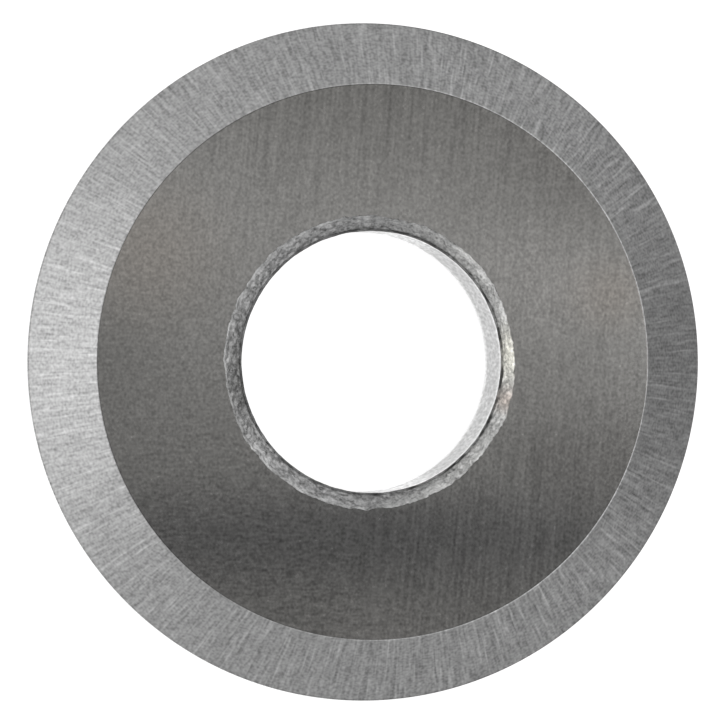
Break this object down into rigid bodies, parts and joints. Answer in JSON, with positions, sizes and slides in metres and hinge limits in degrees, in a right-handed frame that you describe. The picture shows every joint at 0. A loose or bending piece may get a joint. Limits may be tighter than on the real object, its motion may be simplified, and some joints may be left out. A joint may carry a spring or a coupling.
{
  "type": "tile cutter wheel",
  "caption": "Scoring wheel for a hand tile cutter: a flat carbide disc with a plain axle bore and a double-bevelled cutting rim.",
  "frame": {"origin": "centre of the bore on the plane of the cutting edge, halfway between the two flat faces", "axes": "+Z along the bore axis, out of one of the two like flat faces; the wheel is round about it, so X and Y are free"},
  "size_m": [0.016, 0.016, 0.003],
  "materials": {
    "carbide": "ground grey tungsten carbide, satin faces, radially ground bevels, bore mouths left as sintered"
  },
  "bodies": {
    "root": {"cutter_wheel": "carbide"}
  },
  "joints": []
}
